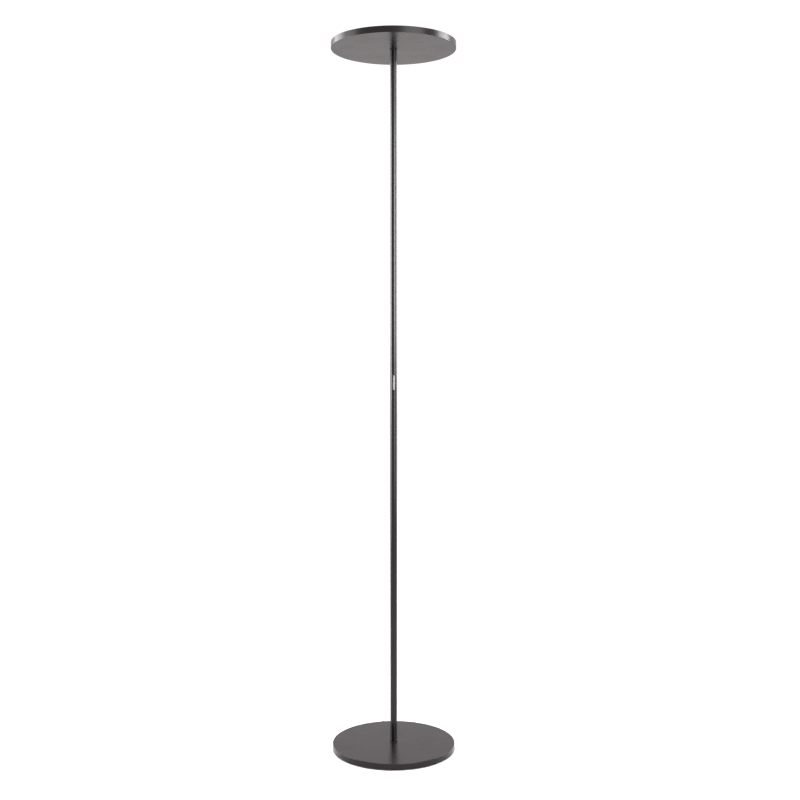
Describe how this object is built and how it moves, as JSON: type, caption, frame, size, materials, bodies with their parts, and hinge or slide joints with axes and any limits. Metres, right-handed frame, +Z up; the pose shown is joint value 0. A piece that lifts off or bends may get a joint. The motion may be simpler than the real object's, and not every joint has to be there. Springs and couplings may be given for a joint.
{
  "type": "torchiere floor lamp",
  "caption": "Slim uplight floor lamp: disc base, straight two-piece pole with a push-key dimmer, and flat disc head with an opal diffuser facing the ceiling.",
  "frame": {"origin": "centre of the base on the floor, under the feet", "axes": "+Z up along the pole; -Y is the front, which the dimmer key faces; the cord gland is at the back"},
  "size_m": [0.315, 0.3253, 1.8],
  "materials": {
    "lamp_body_paint": "satin",
    "pole_paint": "satin",
    "zinc_steel": "satin",
    "cast_weight": "matte",
    "foot_rubber": "matte",
    "black_plastic": "matte",
    "key_plastic": "satin",
    "white_plastic": "matte",
    "opal": "satin",
    "circuit_board": "satin",
    "spreader_metal": "satin",
    "white_board": "satin",
    "phosphor": "satin",
    "lead_sheath": "satin"
  },
  "bodies": {
    "lamp": {"base_cover": "lamp_body_paint", "base_nut": "zinc_steel", "base_plate": "zinc_steel", "base_plate_screws": "zinc_steel", "base_stud": "zinc_steel", "base_washer": "zinc_steel", "base_weight": "cast_weight", "board_carrier": "black_plastic", "cord_gland": "foot_rubber", "diffuser": "opal", "diffuser_ring": "lamp_body_paint", "dimmer_board": "circuit_board", "dimmer_board_screws": "zinc_steel", "dimmer_chips": "black_plastic", "dimmer_connectors": "white_plastic", "driver_screws": "zinc_steel", "foot_bush": "zinc_steel", "foot_gasket": "foot_rubber", "gland_nut": "black_plastic", "head_bush": "zinc_steel", "head_cable": "lead_sheath", "head_connector": "white_plastic", "head_gasket": "foot_rubber", "head_nut": "zinc_steel", "head_pan": "lamp_body_paint", "head_stud": "zinc_steel", "head_washer": "zinc_steel", "heat_spreader": "spreader_metal", "hub_plate": "zinc_steel", "joint_stud": "zinc_steel", "key_bezel": "pole_paint", "led_board": "white_board", "led_board_screws": "zinc_steel", "led_chips": "phosphor", "led_driver": "white_plastic", "lower_joint_bush": "zinc_steel", "lower_pole": "pole_paint", "mains_wires": "lead_sheath", "pole_cable": "lead_sheath", "reflector_ring": "white_plastic", "rubber_feet": "foot_rubber", "tact_switch": "black_plastic", "terminal_block": "white_plastic", "terminal_screws": "zinc_steel", "upper_joint_bush": "zinc_steel", "upper_pole": "pole_paint"},
    "dimmer_key": {"dimmer_key": "key_plastic", "switch_plunger": "white_plastic"}
  },
  "joints": [
    {"name": "dimmer_key_press", "type": "slide", "parent": "lamp", "child": "dimmer_key", "axis": [0, 1, 0], "range_m": [0, 0.0006], "stiffness_N_per_m": 1500, "springref_m": -0.0002}
  ]
}
